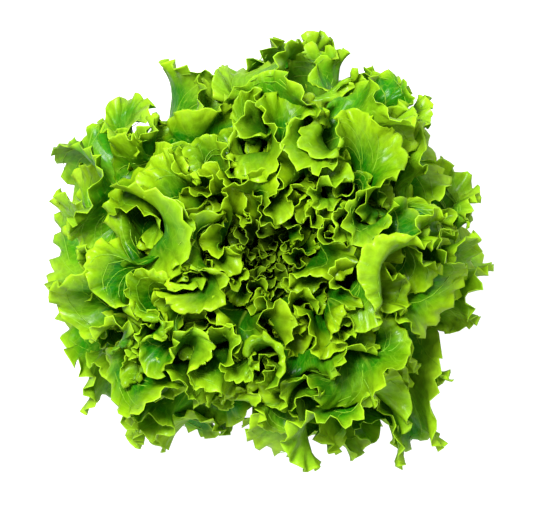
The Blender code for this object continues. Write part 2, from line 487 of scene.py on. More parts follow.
def grown(sheets, across_growth, along_growth, steps):
    """Let every sheet's margin outgrow the rest of it, until it has buckled, and settle."""
    everything = slice(None)
    points = np.float32(sheets)
    home, before = points.copy(), points.copy()
    _, rows, columns = points.shape[:3]
    wide = np.linalg.norm(np.diff(points, axis=2), axis=-1)
    tall = np.linalg.norm(np.diff(points, axis=1), axis=-1)
    wide_end = np.float32(wide * 0.5 * (across_growth[..., 1:] + across_growth[..., :-1]))
    tall_end = np.float32(tall * 0.5 * (along_growth[:, 1:] + along_growth[:, :-1]))
    slants = (points[:, 1:, 1:] - points[:, :-1, :-1], points[:, 1:, :-1] - points[:, :-1, 1:])
    slants = [np.linalg.norm(slant, axis=-1) for slant in slants]
    (across, up), (across_end, up_end) = cell_sides(wide, tall), cell_sides(wide_end, tall_end)
    slants_end = []
    for slant in slants:
        cosine = (slant**2 - across**2 - up**2) / (2 * across * up)
        slant_end = across_end**2 + up_end**2 + 2 * across_end * up_end * cosine
        slants_end.append(np.sqrt(slant_end))
    touching = Touching(points.shape[:3], np.median(wide_end[:, -6:], axis=(1, 2)))
    rooted = np.clip(1 - np.linspace(0, 1, rows) / ROOTED_SHARE, 0, 1)
    held = ROOT_PULL * rooted[None, :, None, None] ** 2
    low, high = slice(0, columns - 1), slice(1, columns)
    for step in range(steps):
        share = min(1, (step + 1) / (GROWING_SHARE * steps))
        moved = points - before
        before[:] = points
        points += KEPT_SPEED * moved
        now_wide, now_tall = mix(wide, wide_end, share), mix(tall, tall_end, share)
        now_slant = [mix(start, end, share) for start, end in zip(slants, slants_end)]
        for first in (0, 1):
            left, right = slice(first, columns - 1, 2), slice(first + 1, columns, 2)
            rest = now_wide[..., first::2]
            spring(points, (..., left, everything), (..., right, everything), rest, EDGE_STRENGTH)
            under, over = slice(first, rows - 1, 2), slice(first + 1, rows, 2)
            rest = now_tall[:, first::2]
            spring(points, (everything, under), (everything, over), rest, EDGE_STRENGTH)
            one, other = now_slant[0][:, first::2], now_slant[1][:, first::2]
            pair = (everything, under, low), (everything, over, high)
            spring(points, *pair, one, SLANT_STRENGTH)
            pair = (everything, under, high), (everything, over, low)
            spring(points, *pair, other, SLANT_STRENGTH)
        for skip in (2, 4):
            span = sum(now_wide[..., n : columns - skip + n] for n in range(skip))
            left, right = slice(0, -skip), slice(skip, None)
            spring(points, (..., left, everything), (..., right, everything), span, BENDING)
        span = now_tall[:, 1:] + now_tall[:, :-1]
        spring(points, (everything, slice(0, -2)), (everything, slice(2, None)), span, 2 * BENDING)
        if step % LIST_EVERY == 0:
            touching.find(points)
        touching.push(points)
        points += (home - points) * held
        points[:, :2] = home[:, :2]
        height = points[..., 2]
        height -= HOLD_DOWN * np.maximum(height - CAD_BOX[1][2] - TOP_GAP, 0)
        np.maximum(height, FLOOR_GAP, out=height)
    return points


def curve_weights(guides, places):
    """Weights [places, guides] of an even smooth curve that its guides pull."""
    at = np.linspace(0, guides - 1, places)
    weights = np.zeros((places, guides))
    for guide in range(-1, guides + 1):
        away = abs(at - guide)
        far_pull = np.clip(2 - away, 0, 1) ** 3 / 6
        pull = np.where(away < 1, 2 / 3 - away**2 + away**3 / 2, far_pull)
        inner, next_inner = min(max(guide, 0), guides - 1), min(max(guide, 1), guides - 2)
        outside = guide != inner
        weights[:, inner] += pull * (2 if outside else 1)
        if outside:
            weights[:, next_inner] -= pull
    return weights


def refined(points, rows, columns):
    """The same sheet with more rows and columns, as a smooth surface."""
    by_row = curve_weights(points.shape[0], rows)
    by_column = curve_weights(points.shape[1], columns)
    return np.einsum("ar,rck,bc->abk", by_row, points, by_column, optimize=True)


def leaf_scale(rank):
    """Size of a leaf's lobes, against the lowest leaf's."""
    return mix(1.0, 0.60, rank**1.5)


def rim_shaped(points):
    """Drawn out or in towards each azimuth, more so the farther from the stem."""
    out = np.linalg.norm(points[..., :2], axis=-1)
    scale = outline_scale(np.arctan2(points[..., 1], points[..., 0]), RIM)
    share = np.clip(out / HEAD_RADIUS, 0, 1) ** 2.5
    points = points.copy()
    points[..., :2] *= mix(1, scale, share)[..., None]
    return points


@cache
def grown_head(lobe_width, growth, growth_depth, steps):
    """Points [leaf, row, column, 3] of all the leaves, grown together."""
    sheets, across_growth, along_growth = [], [], []
    for place, rank in enumerate(RANKS):
        dice = np.random.default_rng(100 + place)
        size = leaf_scale(rank)
        points = jostled(smooth_leaf(place, GROW_ROWS, GROW_COLUMNS))
        start = 1.0
        wave = lobe_width * size
        points = ruffled(points, dice, 2.1 * wave, 0.0030 * size, 2.1 * wave, overhang=0.1)
        points = ruffled(points, dice, wave, 0.0020 * start * size, wave)
        near = np.clip(1 - behind_margin(points) / (growth_depth * size), 0, 1)
        uneven = 1 + 0.3 * wander(dice, GROW_COLUMNS, 10)
        sheets.append(points)
        across_growth.append(1 + growth * near**1.5 * uneven)
        along_growth.append(1 + near * (0.12 + 0.20 * wander(dice, GROW_COLUMNS, 12)))
    sheets = np.array(sheets)
    sheets = grown(sheets, np.array(across_growth), np.array(along_growth), steps)
    return rim_shaped(sheets)


# Ribs and veins


def side_veins(place):
    """(along where it leaves the rib, across where it meets the margin) of a leaf's side veins."""
    dice = np.random.default_rng(300 + place)
    count = 7 if RANKS[place] < 0.6 else 5
    shares = np.arange(count) / (count - 1)
    veins = []
    for side in (-1, 1):
        starts = mix(*VEIN_STARTS, shares) + dice.uniform(-0.03, 0.03, count)
        ends = side * (mix(*VEIN_ENDS, shares) + dice.uniform(-0.05, 0.05, count))
        veins += list(zip(np.clip(starts, 0.02, 0.9), ends))
    return veins


def vein_across(along, start, end):
    """Where across the leaf a side vein lies, as it runs out from the rib to the margin."""
    return end * np.clip((along - start) / (1 - start), 0, 1) ** 0.85


def rib_and_veins(place, points):
    """How much of each point is rib, and how much is vein, from 0 to 1."""
    rows, columns = points.shape[:2]
    along, across = row_places(rows)[:, None], np.linspace(-1, 1, columns)[None, :]
    width = np.linalg.norm(np.gradient(points, axis=1), axis=-1) / (across[0, 1] - across[0, 0])
    scale = mix(1.0, 0.35, RANKS[place])
    rib_width = scale * mix(*RIB_WIDTH, along**0.55)
    rib = np.exp(-((across * width / rib_width) ** 2))
    veins = np.zeros_like(rib)
    for start, end in side_veins(place):
        away = (across - vein_across(along, start, end)) * width
        vein_width = scale * mix(*VEIN_WIDTH, along)
        strength = np.clip((along - start) / 0.06, 0, 1)
        veins = np.maximum(veins, strength * np.exp(-((away / vein_width) ** 2)))
    return rib, veins


def shell_mesh(name, front, back, values, patterns):
    """A closed shell between two sheets, with values on its points and a map of the blade."""
    rows, columns = front.shape[:2]
    count = rows * columns
    index = np.arange(count).reshape(rows, columns)
    cells = np.stack([index[:-1, :-1], index[:-1, 1:], index[1:, 1:], index[1:, :-1]], axis=-1)
    cells = cells.reshape(-1, 4)
    ring = np.concatenate([index[0], index[1:, -1], index[-1, -2::-1], index[-2:0:-1, 0]])
    ahead = np.roll(ring, -1)
    rim = np.stack([ahead, ring, ring + count, ahead + count], axis=-1)
    faces = np.concatenate([cells, cells[:, ::-1] + count, rim])
    mesh = bpy.data.meshes.new(name)
    mesh.vertices.add(2 * count)
    both = np.concatenate([back.reshape(-1, 3), front.reshape(-1, 3)])
    mesh.vertices.foreach_set("co", np.float32(both).ravel())
    mesh.loops.add(faces.size)
    mesh.loops.foreach_set("vertex_index", np.int32(faces).ravel())
    mesh.polygons.add(len(faces))
    mesh.polygons.foreach_set("loop_start", np.arange(0, faces.size, 4, dtype=np.int32))
    mesh.update(calc_edges=True)
    mesh.shade_smooth()
    for label, value in values.items():
        layer = mesh.attributes.new(label, "FLOAT", "POINT")
        layer.data.foreach_set("value", np.float32(np.tile(value.ravel(), 2)))
    side = mesh.attributes.new("back", "FLOAT", "POINT")
    side.data.foreach_set("value", np.repeat(np.float32((1, 0)), count))
    uv = mesh.uv_layers.new(name="blade")
    pattern = np.tile(patterns.reshape(-1, 2), (2, 1))[faces.ravel()]
    uv.data.foreach_set("uv", np.float32(pattern).ravel())
    return mesh


def add_piece(name, mesh, material):
    """An object of that mesh, all of one material."""
    mesh.materials.clear()
    mesh.materials.append(material)
    mesh.polygons.foreach_set("material_index", np.zeros(len(mesh.polygons), np.int32))
    piece = bpy.data.objects.new(name, mesh)
    bpy.context.scene.collection.objects.link(piece)
    return piece


def frilled_leaf(place, rows, columns, sizes):
    """The middle sheet of one finished leaf: what has grown, with its teeth and frills."""
    dice = np.random.default_rng(200 + place)
    size = mix(1.0, 0.75, RANKS[place])
    grown_sizes = sizes.lobe_width, sizes.growth, sizes.growth_depth, sizes.growth_steps
    points = refined(grown_head(*grown_sizes)[place], rows, columns)
    reach = sizes.tooth_reach * size * min(0.6 + 1.2 * RANKS[place], 1)
    points = toothed(points, dice, sizes.tooth_spacing * size, reach)
    wave = sizes.frill_width * size
    height = mix(0.22, 0.14, RANKS[place]) * wave
    points = ruffled(points, dice, wave, height, 0.9 * wave, overhang=0.15, lobe=0.12, fade=0.04)
    finer = 0.45 * wave
    height, depth = 0.11 * finer, 1.1 * finer
    return ruffled(points, dice, finer, height, depth, overhang=0.1, lobe=0.1, fade=0.02)


def add_leaf(name, place, rows, columns, sizes, material):
    """The finished leaf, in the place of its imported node."""
    points = frilled_leaf(place, rows, columns, sizes)
    along, back = directions(points)[1:]
    into_stem = np.clip(1 - np.arange(rows) / 2, 0, 1)[:, None, None]
    points = points - along * into_stem * sizes.rooting
    rib, veins = rib_and_veins(place, points)
    share = row_places(rows)[:, None] * np.ones((1, columns))
    behind = behind_margin(points)
    taper = mix(THIN_EDGE, 1, np.clip(behind / EDGE_DEPTH, 0, 1))
    blade = 0.5 * sizes.blade_thickness * taper
    rib_scale = mix(1.0, 0.4, RANKS[place])
    rib_height = sizes.rib_height * rib_scale * (1 - share) ** 1.3 + LEAST_RIB_HEIGHT
    flesh = BASE_FLESH * (1 - share) ** 6
    front = points - back * (blade + flesh - VEIN_GROOVE * veins)[..., None]
    raised = blade + flesh + rib * rib_height + veins * VEIN_RISE * taper
    rear = points + back * raised[..., None]
    # A lighter line along the margin: partly its paler green, partly a painted highlight
    edge = np.exp(-behind / EDGE_COLOUR_DEPTH)
    values = {"along": share, "rib": rib, "vein": veins, "edge": edge}
    margin_length = lengths(points[-1:], 1)[0, -1]
    across = np.linspace(-0.5, 0.5, columns)[None, :] * margin_length * np.ones((rows, 1))
    patterns = np.stack([across, lengths(points, 0)], axis=-1) / PATTERN_SCALE
    mesh = shell_mesh("frilled_" + name, front, rear, values, patterns)
    piece = add_piece("frilled_" + name, mesh, material)
    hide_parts(name)
    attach(piece, "root")


# Materials


def colour_of(value):
    return (*value, 1)


class Nodes:
    """Adds nodes to a tree and links them."""

    def __init__(self, tree):
        self.tree = tree

    def add(self, kind, links=None, **settings):
        node = self.tree.nodes.new(kind)
        for label, value in settings.items():
            setattr(node, label, value)
        for label, value in (links or {}).items():
            socket = node.inputs[label]
            if isinstance(value, bpy.types.NodeSocket):
                self.tree.links.new(value, socket)
            else:
                socket.default_value = value
        return node

    def value(self, label):
        return self.add("ShaderNodeAttribute", attribute_name=label).outputs["Fac"]

    def sum(self, kind, first, second, clamp=False):
        node = self.add("ShaderNodeMath", {0: first, 1: second}, operation=kind, use_clamp=clamp)
        return node.outputs[0]

    def times(self, first, second):
        return self.sum("MULTIPLY", first, second)

    def span(self, value, low, high, to_low=0.0, to_high=1.0):
        links = {"Value": value, 1: low, 2: high, 3: to_low, 4: to_high}
        return self.add("ShaderNodeMapRange", links).outputs[0]

    def noise(self, place, scale, detail):
        links = {"Vector": place, "Scale": scale, "Detail": detail}
        return self.add("ShaderNodeTexNoise", links).outputs

    def blend(self, share, first, second, kind="MIX"):
        links = {0: share, 6: first, 7: second}
        return self.add("ShaderNodeMix", links, data_type="RGBA", blend_type=kind).outputs[2]

    def group(self, maker, values):
        """Place the shader group that maker builds once, with these values."""
        name = maker.__name__.replace("_group", "").replace("_", " ")
        tree = bpy.data.node_groups.get(name) or maker(name)
        return self.add("ShaderNodeGroup", values, node_tree=tree).outputs

    def skin(self, colour, roughness, gloss, height, bump, bump_distance):
        """A Principled shader whose normal a bump turns."""
        links = {"Strength": bump, "Distance": bump_distance, "Height": height}
        links = {
            "Base Color": colour,
            "Roughness": roughness,
            "Specular IOR Level": gloss,
            "Normal": self.add("ShaderNodeBump", links).outputs[0],
        }
        return self.add("ShaderNodeBsdfPrincipled", links).outputs[0]

    def end(self, surface, through=None, share=0.0):
        """Close the material, with that share of its light let through in the colour through."""
        if through is not None:
            leaf = self.add("ShaderNodeBsdfTranslucent", {"Color": through}).outputs[0]
            surface = self.add("ShaderNodeMixShader", {0: share, 1: surface, 2: leaf}).outputs[0]
        self.add("ShaderNodeOutputMaterial", {"Surface": surface})


def new_material(name):
    """A material with an empty tree, and its nodes' helper."""
    made = bpy.data.materials.new(name)
    made.use_nodes = True
    made.node_tree.nodes.clear()
    return made, Nodes(made.node_tree)


def new_group(name, inputs, outputs):
    """An empty shader group with those sockets, and its nodes' helper."""
    tree = bpy.data.node_groups.new(name, "ShaderNodeTree")
    for label, value in inputs.items():
        kind = "NodeSocketFloat" if isinstance(value, float) else "NodeSocketColor"
        socket = tree.interface.new_socket(label, in_out="INPUT", socket_type=kind)
        socket.default_value = value
    for label, kind in outputs.items():
        tree.interface.new_socket(label, in_out="OUTPUT", socket_type=kind)
    nodes = Nodes(tree)
    return tree, nodes, nodes.add("NodeGroupInput").outputs


def blade_colour_group(name):
    """Colour of a leaf: patches of younger and older green, the older also painted shade, pale ribs,
    veins and base, and a lighter edge, partly a painted highlight.
    """
    inputs = {
        "Grown": (0.2, 0.5, 0.02, 1),
        "Young": (0.35, 0.6, 0.03, 1),
        "Pale": (0.6, 0.75, 0.3, 1),
        "Edge": (0.5, 0.7, 0.1, 1),
        "Vein strength": 0.5,
        "Edge strength": 0.6,
        "Pale patches": 0.2,
        "Pale base": 0.3,
    }
    tree, nodes, given = new_group(name, inputs, {"Color": "NodeSocketColor"})
    place = nodes.add("ShaderNodeTexCoord").outputs
    along, pale = nodes.value("along"), given["Pale"]

    # Younger green towards the margin and in patches; the older green deeper in is also painted shade
    young_and_lit = nodes.sum("POWER", along, 9.0)
    patches = nodes.span(nodes.noise(place["Object"], 34, 3)[0], 0.3, 0.7, -0.50, 0.18)
    young_and_lit = nodes.sum("ADD", young_and_lit, patches, clamp=True)
    colour = nodes.blend(young_and_lit, given["Grown"], given["Young"])

    # Faded patches, and a fine mottle
    faded = nodes.span(nodes.noise(place["Object"], 16, 2)[0], 0.48, 0.66)
    colour = nodes.blend(nodes.times(faded, given["Pale patches"]), colour, pale)
    mottle = nodes.span(nodes.noise(place["UV"], 22, 4)[0], 0.35, 0.65, 0.82, 1.12)
    mottle = nodes.add("ShaderNodeCombineColor", {0: mottle, 1: mottle, 2: mottle}).outputs[0]
    colour = nodes.blend(1.0, colour, mottle, "MULTIPLY")

    # The side veins, and two nets of finer ones on a slightly bent map
    bend = {0: nodes.noise(place["UV"], 12, 2)["Color"], 1: (0.05, 0.05, 0), 2: place["UV"]}
    bent = nodes.add("ShaderNodeVectorMath", bend, operation="MULTIPLY_ADD").outputs[0]
    veins = nodes.value("vein")
    for scale, wide, strength in ((11, 0.035, 0.75), (30, 0.06, 0.35)):
        links = {"Vector": bent, "Scale": scale}
        net = nodes.add("ShaderNodeTexVoronoi", links, feature="DISTANCE_TO_EDGE")
        veins = nodes.sum("MAXIMUM", veins, nodes.span(net.outputs[0], 0.0, wide, strength, 0.0))
    colour = nodes.blend(nodes.times(veins, given["Vein strength"]), colour, pale)

    # The rib, the base, the back, and the very edge, whose lighter line is partly a painted highlight
    rib = nodes.times(nodes.value("rib"), nodes.span(along, 0.3, 0.95, 1.0, 0.1))
    base = nodes.times(nodes.span(along, 0.15, 0.75, 1.0, 0.0), given["Pale base"])
    colour = nodes.blend(nodes.sum("MAXIMUM", rib, base), colour, pale)
    colour = nodes.blend(nodes.times(nodes.value("back"), 0.05), colour, pale)
    edge = nodes.times(nodes.value("edge"), given["Edge strength"])
    nodes.add("NodeGroupOutput", {"Color": nodes.blend(edge, colour, given["Edge"])})
    return tree


def blade_relief_group(name):
    """Height of a leaf's skin: puckers between its veins, broad swells and a fine grain."""
    inputs = {"Pucker": 0.5, "Swell": 1.6, "Grain": 0.1, "Vein depth": 0.35}
    tree, nodes, given = new_group(name, inputs, {"Height": "NodeSocketFloat"})
    place = nodes.add("ShaderNodeTexCoord").outputs
    puckers = nodes.add("ShaderNodeTexVoronoi", {"Vector": place["UV"], "Scale": 13}, feature="F1")
    height = nodes.times(nodes.sum("SUBTRACT", 1.0, puckers.outputs[0]), given["Pucker"])
    swells = nodes.times(nodes.noise(place["UV"], 7, 1)[0], given["Swell"])
    grain = nodes.times(nodes.noise(place["Object"], 900, 2)[0], given["Grain"])
    height = nodes.sum("ADD", nodes.sum("ADD", height, swells), grain)
    sunk = nodes.times(nodes.value("vein"), given["Vein depth"])
    nodes.add("NodeGroupOutput", {"Height": nodes.sum("SUBTRACT", height, sunk)})
    return tree


def cut_flesh_group(name):
    """Fibrous flesh with streaks up the stem, browned in rings and blotches where it was cut."""
    inputs = {
        "Flesh": (0.56, 0.62, 0.30, 1),
        "Streak": (0.36, 0.47, 0.14, 1),
        "Browned": (0.26, 0.13, 0.05, 1),
    }
    outputs = {
        "Color": "NodeSocketColor",
        "Roughness": "NodeSocketFloat",
        "Height": "NodeSocketFloat",
    }
    tree, nodes, given = new_group(name, inputs, outputs)
    place, cut = nodes.add("ShaderNodeTexCoord").outputs["Object"], nodes.value("cut")
    upright = nodes.add("ShaderNodeMapping", {"Vector": place, "Scale": (1, 1, 0.08)}).outputs[0]
    fibre = nodes.noise(upright, 420, 4)[0]
    colour = nodes.blend(nodes.span(fibre, 0.38, 0.66), given["Flesh"], given["Streak"])
    rings = nodes.add(
        "ShaderNodeTexWave",
        {"Vector": place, "Scale": 95, "Distortion": 3.0, "Detail": 3, "Detail Scale": 2},
        wave_type="RINGS",
        rings_direction="Z",
    ).outputs[1]
    blotches = nodes.span(nodes.noise(place, 130, 5)[0], 0.4, 0.7)
    stain = nodes.sum("ADD", nodes.span(rings, 0.0, 1.0, 0.0, 0.35), blotches)
    stain = nodes.sum("MULTIPLY", stain, cut, clamp=True)
    links = {
        "Color": nodes.blend(stain, colour, given["Browned"]),
        "Roughness": nodes.span(stain, 0.0, 1.0, 0.38, 0.75),
        "Height": nodes.sum("ADD", fibre, nodes.times(rings, cut)),
    }
    nodes.add("NodeGroupOutput", links)
    return tree


def leaf_material(kind, colours):
    """A thin, softly glossy blade that lets some light through."""
    short = short_name(kind)
    made, nodes = new_material(short + " blade")
    veins, edge, patches = BLADE_STRENGTHS[kind]
    values = {
        # The older green is also painted shade: darker deep in the leaf and towards the head's middle
        "Grown": colour_of(getattr(colours, short + "_grown")),
        "Young": colour_of(getattr(colours, short + "_young")),
        "Pale": colour_of(colours.pale),
        "Edge": colour_of(colours.edge),
        "Vein strength": veins,
        "Edge strength": edge,
        "Pale patches": patches,
        "Pale base": 0.04,
    }
    colour = nodes.group(blade_colour_group, values)["Color"]
    relief = {"Pucker": 0.6, "Swell": 1.6, "Grain": 0.08, "Vein depth": 0.35}
    height = nodes.group(blade_relief_group, relief)["Height"]
    skin = nodes.skin(colour, 0.30, 0.13, height, 0.45, 0.0014)
    through = nodes.blend(1.0, colour, colour_of(colours.through), "MULTIPLY")
    nodes.end(skin, through, 0.22)
    return made


def vein_material(colours):
    """Pale flesh that lets light through, for the raised veins."""
    made, nodes = new_material("vein flesh")
    place = nodes.add("ShaderNodeTexCoord").outputs["Object"]
    patches = nodes.span(nodes.noise(place, 60, 3)[0], 0.35, 0.75, 0.0, 0.6)
    colour = nodes.blend(patches, colour_of(colours.vein), colour_of(colours.pale))
    grain = nodes.noise(place, 700, 2)[0]
    nodes.end(nodes.skin(colour, 0.42, 0.22, grain, 0.2, 0.0003), colour, 0.2)
    return made


def stem_material(name, flesh, streak, browned):
    """Wet fibrous flesh, for the stem and for the scars on it."""
    made, nodes = new_material(name)
    values = {
        "Flesh": colour_of(flesh),
        "Streak": colour_of(streak),
        "Browned": colour_of(browned),
    }
    look = nodes.group(cut_flesh_group, values)
    nodes.end(nodes.skin(look["Color"], look["Roughness"], 0.4, look["Height"], 0.4, 0.0005))
    return made


def floor_material(colour):
    """A pale floor that hardly shows a shadow and sends little light up under the leaves."""
    made, nodes = new_material("floor")
    seen = nodes.add("ShaderNodeLightPath").outputs["Is Camera Ray"]
    links = {
        "Base Color": colour_of(colour),
        "Roughness": 0.6,
        "Emission Color": (1, 1, 1, 1),
        "Emission Strength": nodes.times(seen, FLOOR_GLOW),
    }
    nodes.end(nodes.add("ShaderNodeBsdfPrincipled", links).outputs[0])
    return made


# Geometry Nodes


def new_tree(name, inputs):
    """An empty tree of Geometry Nodes with those named inputs, and its nodes' helper."""
    tree = bpy.data.node_groups.new(name, "GeometryNodeTree")
    tree.interface.new_socket("Geometry", in_out="INPUT", socket_type="NodeSocketGeometry")
    for label, kind in inputs:
        tree.interface.new_socket(label, in_out="INPUT", socket_type=kind)
    tree.interface.new_socket("Geometry", in_out="OUTPUT", socket_type="NodeSocketGeometry")
    nodes = Nodes(tree)
    return tree, nodes, nodes.add("NodeGroupInput").outputs


def end_tree(nodes, shape, material):
    """Close the tree: one real, smooth mesh of that material."""
    smooth = nodes.add("GeometryNodeSetShadeSmooth", {"Geometry": shape}).outputs[0]
    real = nodes.add("GeometryNodeRealizeInstances", {"Geometry": smooth}).outputs[0]
    done = nodes.add("GeometryNodeSetMaterial", {"Geometry": real, "Material": material})
    nodes.add("NodeGroupOutput", {0: done.outputs[0]})


def made_by_nodes(name, mesh, tree, settings):
    """The plain mesh that the tree makes of a mesh."""
    base = bpy.data.objects.new(name + "_base", mesh)
    bpy.context.scene.collection.objects.link(base)
    run = base.modifiers.new("nodes", "NODES")
    run.node_group = tree
    for item in tree.interface.items_tree:
        if item.in_out == "INPUT" and item.name in settings:
            run[item.identifier] = settings[item.name]
    graph = bpy.context.evaluated_depsgraph_get()
    made = bpy.data.meshes.new_from_object(base.evaluated_get(graph))
    made.name = name
    base.modifiers.remove(run)
    bpy.data.objects.remove(base)
    if not made.polygons:
        raise RuntimeError(name + " came out empty")
    return made


def vein_tree(material):
    """Turns each chain of edges into a round, tapering vein."""
    inputs = [("Sides", "NodeSocketInt"), ("Thickness", "NodeSocketFloat")]
    tree, nodes, given = new_tree("raised veins", inputs)
    line = nodes.add("GeometryNodeMeshToCurve", {"Mesh": given["Geometry"]}).outputs[0]
    width = nodes.add("GeometryNodeInputNamedAttribute", {"Name": "thick"}, data_type="FLOAT")
    width = nodes.sum("MULTIPLY", width.outputs[0], given["Thickness"])
    ring = nodes.add("GeometryNodeCurvePrimitiveCircle", {"Resolution": given["Sides"], "Radius": 1.0})
    tube = nodes.add(
        "GeometryNodeCurveToMesh",
        {"Curve": line, "Profile Curve": ring.outputs[0], "Scale": width, "Fill Caps": True},
    )
    end_tree(nodes, tube.outputs[0], material)
    return tree


def scar_tree(material):
    """Puts leaf scars in a spiral round the stem's foot."""
    inputs = [
        ("Count", "NodeSocketInt"),
        ("Turn", "NodeSocketFloat"),
        ("Spiral radius", "NodeSocketFloat"),
        ("Lowest", "NodeSocketFloat"),
        ("Highest", "NodeSocketFloat"),
        ("Scar size", "NodeSocketVector"),
        ("Seed", "NodeSocketInt"),
    ]
    tree, nodes, given = new_tree("leaf scars", inputs)
    index = nodes.add("GeometryNodeInputIndex").outputs[0]
    line = nodes.add("GeometryNodeMeshLine", {"Count": given["Count"], "Offset": (0, 0, 0)}).outputs[0]
    angle = nodes.sum("MULTIPLY", index, given["Turn"])
    share = nodes.sum("DIVIDE", index, given["Count"])
    rise = nodes.sum("MULTIPLY", share, nodes.sum("SUBTRACT", given["Highest"], given["Lowest"]))
    place = nodes.add(
        "ShaderNodeCombineXYZ",
        {
            0: nodes.sum("MULTIPLY", nodes.sum("COSINE", angle, 0.0), given["Spiral radius"]),
            1: nodes.sum("MULTIPLY", nodes.sum("SINE", angle, 0.0), given["Spiral radius"]),
            2: nodes.sum("ADD", rise, given["Lowest"]),
        },
    ).outputs[0]
    points = nodes.add("GeometryNodeSetPosition", {"Geometry": line, "Position": place}).outputs[0]
    scar = nodes.add("GeometryNodeMeshUVSphere", {"Segments": 14, "Rings": 8, "Radius": 1.0}).outputs[0]
    facing = nodes.add("ShaderNodeCombineXYZ", {2: angle}).outputs[0]
    facing = nodes.add("FunctionNodeEulerToRotation", {0: facing}).outputs[0]
    uneven = nodes.add(
        "FunctionNodeRandomValue",
        {0: (0.9, 0.75, 0.8), 1: (1.1, 1.25, 1.2), "ID": index, "Seed": given["Seed"]},
        data_type="FLOAT_VECTOR",
    ).outputs[0]
    size = nodes.add(
        "ShaderNodeVectorMath", {0: uneven, 1: given["Scar size"]}, operation="MULTIPLY"
    ).outputs[0]
    links = {"Points": points, "Instance": scar, "Rotation": facing, "Scale": size}
    scars = nodes.add("GeometryNodeInstanceOnPoints", links).outputs[0]
    end_tree(nodes, scars, material)
    return tree


# Veins and stem


def vein_paths(place):
    """(along at its start, its across at each along, thickness) of a leaf's veins and forks."""
    dice = np.random.default_rng(400 + place)
    paths = []
    for start, end in side_veins(place):
        paths.append((start, lambda along, a=start, b=end: vein_across(along, a, b), 1.0))
        if RANKS[place] > FORKS_UP_TO:
            continue
        for side in (-1, 1):
            fork = mix(start, 1, dice.uniform(0.30, 0.55))
            swing = side * dice.uniform(0.05, 0.085)

            def forked(along, a=start, b=end, f=fork, s=swing):
                return vein_across(along, a, b) + s * np.clip((along - f) / (1 - f), 0, 1) ** 0.8

            paths.append((fork, forked, FORK_THICKNESS))
    return paths


def vein_chains(place, points):
    """Chains of (position, radius) along the veins of a finished sheet, row by row."""
    rows, columns = points.shape[:2]
    along = row_places(rows)
    back = directions(points)[2]
    scale = mix(1.0, 0.45, RANKS[place])
    chains = []
    for start, path, thickness in vein_paths(place):
        row = np.flatnonzero((along >= start) & (along < 0.995))
        across = path(along[row])
        column = (across + 1) / 2 * (columns - 1)
        good = (column > 2) & (column < columns - 3)
        row, column = row[good], column[good]
        if len(row) < 4:
            continue
        left = column.astype(int)
        share = (column - left)[:, None]
        centre = mix(points[row, left], points[row, left + 1], share)
        width = scale * mix(*VEIN_RADIUS, along[row]) * thickness
        centre = centre + back[row, left] * (width - VEIN_SUNK)[:, None]
        chains.append((centre, width))
    return chains


def chains_mesh(name, chains):
    """A mesh of nothing but chains of edges, with their radius on their points."""
    mesh = bpy.data.meshes.new(name)
    ends = np.cumsum([0] + [len(width) for _, width in chains])
    edges = [(n, n + 1) for a, b in zip(ends, ends[1:]) for n in range(a, b - 1)]
    mesh.from_pydata(np.concatenate([centre for centre, _ in chains]).tolist(), edges, [])
    layer = mesh.attributes.new("thick", "FLOAT", "POINT")
    layer.data.foreach_set("value", np.float32(np.concatenate([width for _, width in chains])))
    return mesh


def stem_rings(sizes):
    """Points [ring, column, 3] of the stem's skin from its cut face to its tip, and their cut."""
    turn = np.linspace(0, 2 * math.pi, STEM_COLUMNS, endpoint=False)
    face = np.linspace(0.06, 1, 16) * (STEM_RADIUS - CUT_BEVEL)
    hollow = sizes.cut_hollow * (1 - (face / face[-1]) ** 2)
    bevel = np.linspace(0, math.pi / 2, 5)[1:]
    side = np.linspace(CUT_BEVEL, STEM_HEIGHT - STEM_CAP, 90)[1:]
    cap = np.linspace(0, 0.94, 5)[1:]
    radius = np.concatenate([
        face,
        STEM_RADIUS - CUT_BEVEL * (1 - np.sin(bevel)),
        stem_radius(side),
        stem_radius(side[-1]) * np.sqrt(1 - cap**2),
    ])
    height = np.concatenate([
        hollow,
        CUT_BEVEL * (1 - np.cos(bevel)),
        side,
        side[-1] + STEM_CAP * cap,
    ])
    cut = np.clip(1 - (height - STAIN_HEIGHT) / STAIN_FADE, 0, 1)
    radius, height = radius[:, None], height[:, None] * np.ones((1, STEM_COLUMNS))
    up = np.clip(height / 0.004, 0, 1) * np.clip((STEM_HEIGHT - height) / 0.006, 0, 1)
    ridges = 0.014 * np.sin(7 * turn + 30 * height) + 0.008 * np.sin(19 * turn + 1.3)
    swelling = np.zeros_like(height)
    for place, rank in enumerate(RANKS):
        base = mix(FIRST_LEAF_HEIGHT, STEM_HEIGHT - LAST_LEAF_BELOW_TOP, rank)
        away = (turn - FIRST_AZIMUTH - place * GOLDEN_ANGLE + math.pi) % (2 * math.pi) - math.pi
        above = (height - base) / SWELLING_HALF_HEIGHT
        swelling += np.exp(-((away / SWELLING_HALF_ANGLE) ** 2) - above**2)
    radius = radius * (1 + ridges * up) + SWELLING * np.minimum(swelling, 1) * up
    grain = CUT_GRAIN * np.sin(2 * math.pi * radius / GRAIN_WAVE + 2 * np.sin(3 * turn))
    on_face = (height < 0.001) & (radius < 0.8 * STEM_RADIUS)
    height = np.maximum(height + grain * on_face, 0)
    points = np.stack([radius * np.cos(turn), radius * np.sin(turn), height], axis=-1)
    return points, cut


